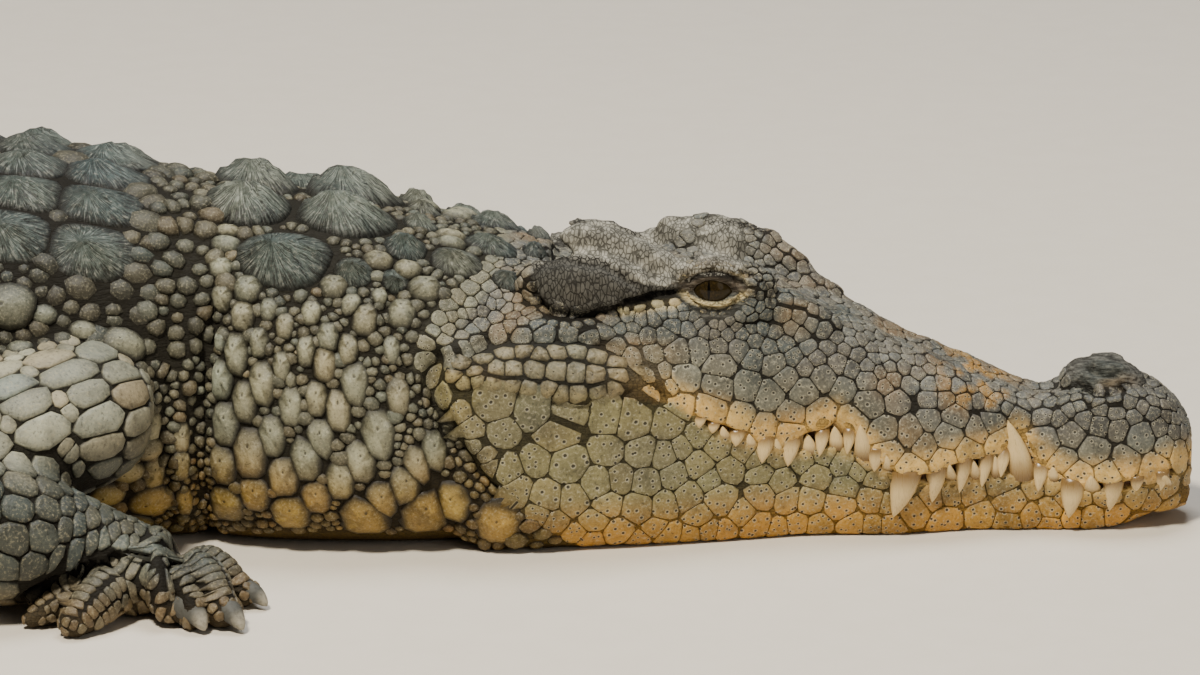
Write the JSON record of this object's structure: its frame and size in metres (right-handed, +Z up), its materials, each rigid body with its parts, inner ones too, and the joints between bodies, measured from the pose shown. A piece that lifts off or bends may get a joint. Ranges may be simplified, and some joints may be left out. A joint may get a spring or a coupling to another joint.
{
  "type": "nile crocodile model",
  "caption": "Still life-size model of a Nile crocodile resting on its belly, jaws closed on the floor, legs folded out and tail laid in a slow curve.",
  "frame": {"origin": "on the floor under the middle of the trunk, at the belly's flat", "axes": "+X along the body towards the snout, +Y the animal's left, +Z up"},
  "size_m": [3.562, 0.9224, 0.294],
  "materials": {
    "hide": "horny scales, dark grey olive above, pale yellow olive on throat and flanks",
    "jaw_hide": "smooth horny skin, olive yellow, with flat cracked plates",
    "eye": "wet glossy eye, dark olive brown with an upright pupil",
    "claw": "polished horn, grey brown with a paler point"
  },
  "bodies": {
    "root": {"head": "hide", "lower_jaw": "jaw_hide", "eye_right": "eye", "eye_left": "eye", "neck": "hide", "trunk": "hide", "tail_base": "hide", "tail_middle": "hide", "tail_end": "hide", "foreleg_upper_right": "hide", "foreleg_lower_right": "hide", "forefoot_right": "hide", "foreclaw_1_right": "claw", "foreclaw_2_right": "claw", "foreclaw_3_right": "claw", "foreleg_upper_left": "hide", "foreleg_lower_left": "hide", "forefoot_left": "hide", "foreclaw_1_left": "claw", "foreclaw_2_left": "claw", "foreclaw_3_left": "claw", "hindleg_upper_right": "hide", "hindleg_lower_right": "hide", "hindfoot_right": "hide", "hindclaw_1_right": "claw", "hindclaw_2_right": "claw", "hindclaw_3_right": "claw", "hindleg_upper_left": "hide", "hindleg_lower_left": "hide", "hindfoot_left": "hide", "hindclaw_1_left": "claw", "hindclaw_2_left": "claw", "hindclaw_3_left": "claw"}
  },
  "joints": []
}
